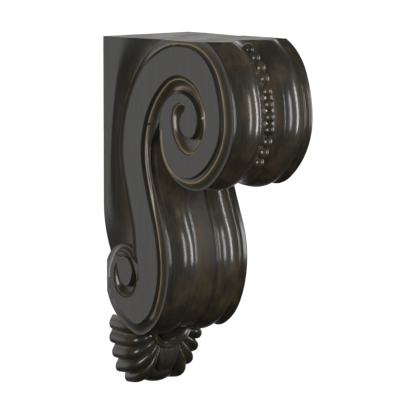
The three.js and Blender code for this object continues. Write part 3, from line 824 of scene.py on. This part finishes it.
def mark_rubbed(piece):
    """Marks how far each point is rubbed through, from its distance to the nearest ridge."""
    tree = kdtree.KDTree(len(rubbed_points))
    for i, (point, _) in enumerate(rubbed_points):
        tree.insert(point, i)
    tree.balance()
    marks = piece.data.attributes.new("rubbed", "FLOAT", "POINT")
    for vertex in piece.data.vertices:
        _, nearest, distance = tree.find(vertex.co)
        line = (1.0 - RUB_HALO) * math.exp(-(distance / RUB_REACH) ** 2)
        halo = RUB_HALO * math.exp(-(distance / RUB_HALO_REACH) ** 2)
        on_face = abs(vertex.co.x) > HALF_WIDTH - FACE_MARGIN
        marks.data[vertex.index].value = 0.0 if on_face else rubbed_points[nearest][1] * (line + halo)


def place_in_frame(piece):
    """From the drawing's millimetres to the frame's metres, kept in the mesh."""
    piece.scale = (MM, MM, MM)
    piece.location = (0.0, 0.0, TOP_ABOVE_ORIGIN * MM)
    pick(piece)
    bpy.ops.object.transform_apply(location=True, rotation=True, scale=True)
    bpy.ops.object.shade_smooth_by_angle(angle=math.radians(SMOOTH_ANGLE))
    apply_modifier(piece, "flat faces stay flat", "WEIGHTED_NORMAL", keep_sharp=True)


corbel = carved_corbel()
mark_rubbed(corbel)
place_in_frame(corbel)
corbel.name = "carved_corbel"
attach(corbel, "root")
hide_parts("scroll_corbel")


# Finish: colours, nodes and the lacquer


def srgb(text):
    """An sRGB hex colour as linear RGBA."""
    channels = [int(text[i:i + 2], 16) / 255.0 for i in (0, 2, 4)]
    linear = [c / 12.92 if c <= 0.04045 else ((c + 0.055) / 1.055) ** 2.4 for c in channels]
    return (*linear, 1.0)


def node(material, kind, inputs=None, **settings):
    """Adds a node with its settings; inputs are values or another node's output sockets."""
    made = material.node_tree.nodes.new(kind)
    for key, value in settings.items():
        setattr(made, key, value)
    for key, value in (inputs or {}).items():
        if isinstance(value, bpy.types.NodeSocket):
            material.node_tree.links.new(value, made.inputs[key])
        else:
            made.inputs[key].default_value = value
    return made


def ramp(material, value, low, high, bottom=0.0, top=1.0):
    """A smooth step of a value, from bottom at low to top at high."""
    settings = {"Value": value, "From Min": low, "From Max": high, "To Min": bottom, "To Max": top}
    return node(material, "ShaderNodeMapRange", settings, interpolation_type="SMOOTHSTEP").outputs[0]


def times(material, a, b):
    return node(material, "ShaderNodeMath", {0: a, 1: b}, operation="MULTIPLY").outputs[0]


def tint(material, share, base, over):
    """One colour laid over another by a share of nought to one."""
    made = node(material, "ShaderNodeMix", {0: share, 6: base, 7: over}, data_type="RGBA")
    return made.outputs[2]


def noise(material, place, size, stretch, detail, rough, distortion=0.0):
    """Noise with spots of a real size in millimetres, stretched along the axes."""
    scale = tuple(1.0 / (size * MM * factor) for factor in stretch)
    spot = node(material, "ShaderNodeMapping", {"Vector": place, "Scale": scale}).outputs[0]
    settings = {"Vector": spot, "Scale": 1.0, "Detail": detail, "Roughness": rough, "Distortion": distortion}
    return node(material, "ShaderNodeTexNoise", settings).outputs[0]


# Colours: the film, where it is thin, the warm tone of the front, rubbed ridges and hollows
LACQUER = "1f1e18"
LACQUER_THIN = "2a2822"
WARM = "473a26"
RUBBED = "7c6b4a"
RECESS = "453521"
# Sizes of the finish in millimetres: the wood's pores, the cloudy film, streaks on top and hollows
GRAIN_WIDTH = 1.3
GRAIN_STRETCH = (1.0, 1.0, 40.0)
GRAIN_RELIEF = 0.2
GRAIN_STRENGTH = 0.12
MOTTLE = 16.0
MOTTLE_STRETCH = (1.0, 1.0, 2.6)
TOP_STREAK = 7.0
TOP_STREAK_STRETCH = (6.0, 1.0, 1.0)
TOP_FADE = (TOP_ABOVE_ORIGIN - 1.0, TOP_ABOVE_ORIGIN - 0.2)
FRONT_FADE = (55.0, 50.0)
LEAF_FADE = (TOP_ABOVE_ORIGIN - 295.0, TOP_ABOVE_ORIGIN - 275.0)
LEAF_WARMTH = 0.35
RECESS_SIZE = 4.5
LACQUER_IOR = 1.5
WOOD_SPECULAR = 0.15
COAT_ROUGHNESS = 0.19


def fade(material, value, ends, bottom=0.0, top=1.0):
    """A ramp between two places in millimetres."""
    low, high = (end * MM for end in ends)
    return ramp(material, value, low, high, bottom, top)


def bronze_lacquer():
    """Satin nitrocellulose lacquer, toned near black and sprayed over carved hardwood, then rubbed
    back: thin and gold brown on the ridges, brown in the hollows, with long soft highlights."""
    lacquer = bpy.data.materials.new("dark bronze lacquer over carved wood")
    lacquer.use_nodes = True
    shader = lacquer.node_tree.nodes["Principled BSDF"]
    place = node(lacquer, "ShaderNodeTexCoord").outputs["Object"]
    axes = node(lacquer, "ShaderNodeSeparateXYZ", {0: place}).outputs
    from_middle = node(lacquer, "ShaderNodeMath", {0: axes[0]}, operation="ABSOLUTE").outputs[0]
    rubbed = node(lacquer, "ShaderNodeAttribute", attribute_name="rubbed").outputs["Fac"]

    grain = noise(lacquer, place, GRAIN_WIDTH, GRAIN_STRETCH, detail=4.0, rough=0.6)
    mottle = noise(lacquer, place, MOTTLE, MOTTLE_STRETCH, detail=5.0, rough=0.62, distortion=0.3)
    streaks = noise(lacquer, place, TOP_STREAK, TOP_STREAK_STRETCH, detail=4.0, rough=0.6)
    on_top = fade(lacquer, axes[2], TOP_FADE)
    over_leaves = fade(lacquer, axes[2], LEAF_FADE, LEAF_WARMTH, 1.0)
    on_front = times(lacquer, fade(lacquer, from_middle, FRONT_FADE), over_leaves)
    hollow = node(lacquer, "ShaderNodeAmbientOcclusion", {"Distance": RECESS_SIZE * MM}, samples=12)
    recess = ramp(lacquer, hollow.outputs["AO"], 0.6, 0.25)

    warm = times(lacquer, on_front, ramp(lacquer, mottle, 0.34, 0.8))
    brown = times(lacquer, on_front, times(lacquer, recess, ramp(lacquer, mottle, 0.3, 0.6, 0.3, 1.0)))
    gold = times(lacquer, rubbed, ramp(lacquer, mottle, 0.3, 0.6, 0.45, 1.0))
    colour = tint(lacquer, ramp(lacquer, grain, 0.35, 0.75), srgb(LACQUER), srgb(LACQUER_THIN))
    colour = tint(lacquer, warm, colour, srgb(WARM))
    colour = tint(lacquer, brown, colour, srgb(RECESS))
    colour = tint(lacquer, gold, colour, srgb(RUBBED))
    relief = {"Height": grain, "Strength": GRAIN_STRENGTH, "Distance": GRAIN_RELIEF * MM}
    bump = node(lacquer, "ShaderNodeBump", relief).outputs[0]
    lacquer.node_tree.links.new(colour, shader.inputs["Base Color"])
    lacquer.node_tree.links.new(bump, shader.inputs["Normal"])
    lacquer.node_tree.links.new(ramp(lacquer, mottle, 0.3, 0.7, 0.45, 0.6), shader.inputs["Roughness"])
    sanded = times(lacquer, on_top, ramp(lacquer, streaks, 0.3, 0.7, 0.95, 0.6))
    dulled = node(lacquer, "ShaderNodeMath", {0: sanded, 1: recess}, operation="MAXIMUM").outputs[0]
    film = node(lacquer, "ShaderNodeMath", {0: 1.0, 1: dulled}, operation="SUBTRACT").outputs[0]
    lacquer.node_tree.links.new(film, shader.inputs["Coat Weight"])
    shader.inputs["IOR"].default_value = LACQUER_IOR
    shader.inputs["Specular IOR Level"].default_value = WOOD_SPECULAR
    shader.inputs["Coat Roughness"].default_value = COAT_ROUGHNESS
    return lacquer


corbel.data.materials.clear()
corbel.data.materials.append(bronze_lacquer())

# Camera: the photograph's square frame
CAMERA_AZIMUTH = math.radians(41.887)
CAMERA_ELEVATION = math.radians(6.406)
CAMERA_DISTANCE = 3.42507
AIM_RIGHT = 0.064404
AIM_UP = -0.180799
FOCAL_PIXELS = 3300.0
FRAME_PIXELS = 416.0
SENSOR = 36.0
CLIP_END = 100.0


def add_camera():
    look = Vector((
        math.sin(CAMERA_AZIMUTH) * math.cos(CAMERA_ELEVATION),
        math.cos(CAMERA_AZIMUTH) * math.cos(CAMERA_ELEVATION),
        -math.sin(CAMERA_ELEVATION),
    ))
    right = Vector((math.cos(CAMERA_AZIMUTH), -math.sin(CAMERA_AZIMUTH), 0.0))
    up = right.cross(look)
    aim = right * AIM_RIGHT + up * AIM_UP + Vector((0.0, 0.0, TOP_ABOVE_ORIGIN * MM))
    data = bpy.data.cameras.new("camera")
    data.sensor_width = SENSOR
    data.lens = FOCAL_PIXELS / FRAME_PIXELS * SENSOR
    data.clip_end = CLIP_END
    camera = bpy.data.objects.new("camera", data)
    camera.location = aim - look * CAMERA_DISTANCE
    camera.rotation_euler = look.to_track_quat("-Z", "Y").to_euler()
    bpy.context.scene.collection.objects.link(camera)
    bpy.context.scene.camera = camera


# Studio: a white wall behind and the room dark in front, two tall strip lights to the front right
# and a wide one to the front left, and white paper below
STRIP_DISTANCE = 0.9
STRIP_BOTTOM = -0.22
STRIP_TOP = 0.32
STRIP_AIM = (0.0, -0.196, (STRIP_TOP + STRIP_BOTTOM) / 2.0)
# Each strip's azimuth to the right of the front, in degrees, its width and its power
STRIPS = [(24.0, 0.1, 2.2), (62.0, 0.1, 2.6), (-54.0, 0.3, 4.4)]
# The room's ramps along a ray's y (the walls) or z: from, to, and the strength at each
WALLS = (0.2, 0.65, 0.1, 1.0)
CEILING = (0.25, 0.7, 1.0, 0.2)
UNDERSIDE = (-0.45, -0.1, 0.1, 1.0)
FILL = (-0.2, 0.3, 0.12, 1.0)
FLOOR_SIZE = 40.0
FLOOR_HEIGHT = -0.6
PAPER = "ffffff"
PAPER_ROUGHNESS = 0.9
PAPER_GLOW = 0.12


def strip_light(name, azimuth, width, power):
    data = bpy.data.lights.new(name, "AREA")
    data.shape = "RECTANGLE"
    data.size = width
    data.size_y = STRIP_TOP - STRIP_BOTTOM
    data.energy = power
    a = math.radians(azimuth)
    aim = Vector(STRIP_AIM)
    place = aim + Vector((math.sin(a), -math.cos(a), 0.0)) * STRIP_DISTANCE
    light = bpy.data.objects.new(name, data)
    light.location = place
    light.rotation_euler = (aim - place).to_track_quat("-Z", "Y").to_euler()
    bpy.context.scene.collection.objects.link(light)
    light.visible_camera = False


def add_room():
    room = bpy.context.scene.world or bpy.data.worlds.new("studio")
    bpy.context.scene.world = room
    room.use_nodes = True
    backdrop = room.node_tree.nodes["Background"]
    way = node(room, "ShaderNodeTexCoord").outputs["Generated"]
    axes = node(room, "ShaderNodeSeparateXYZ", {0: way}).outputs
    above = times(room, ramp(room, axes[2], *CEILING), ramp(room, axes[2], *UNDERSIDE))
    reflected = times(room, ramp(room, axes[1], *WALLS), above)
    fill = ramp(room, axes[2], *FILL)
    glossy = node(room, "ShaderNodeLightPath").outputs["Is Glossy Ray"]
    strength = node(room, "ShaderNodeMix", {0: glossy, 2: fill, 3: reflected}, data_type="FLOAT").outputs[0]
    room.node_tree.links.new(strength, backdrop.inputs["Strength"])
    backdrop.inputs["Color"].default_value = (1.0, 1.0, 1.0, 1.0)


def add_paper():
    deselect()
    bpy.ops.mesh.primitive_plane_add(size=FLOOR_SIZE, location=(0.0, 0.0, FLOOR_HEIGHT))
    floor = bpy.context.active_object
    floor.name = "floor"
    floor.visible_glossy = False
    floor.visible_diffuse = False
    paper = bpy.data.materials.new("white studio paper")
    paper.use_nodes = True
    shader = paper.node_tree.nodes["Principled BSDF"]
    shader.inputs["Base Color"].default_value = srgb(PAPER)
    shader.inputs["Roughness"].default_value = PAPER_ROUGHNESS
    shader.inputs["Emission Color"].default_value = srgb(PAPER)
    shader.inputs["Emission Strength"].default_value = PAPER_GLOW
    floor.data.materials.append(paper)


add_camera()
add_room()
for number, strip in enumerate(STRIPS, start=1):
    strip_light(f"strip_{number}", *strip)
bpy.context.scene.view_settings.view_transform = "Standard"
add_paper()
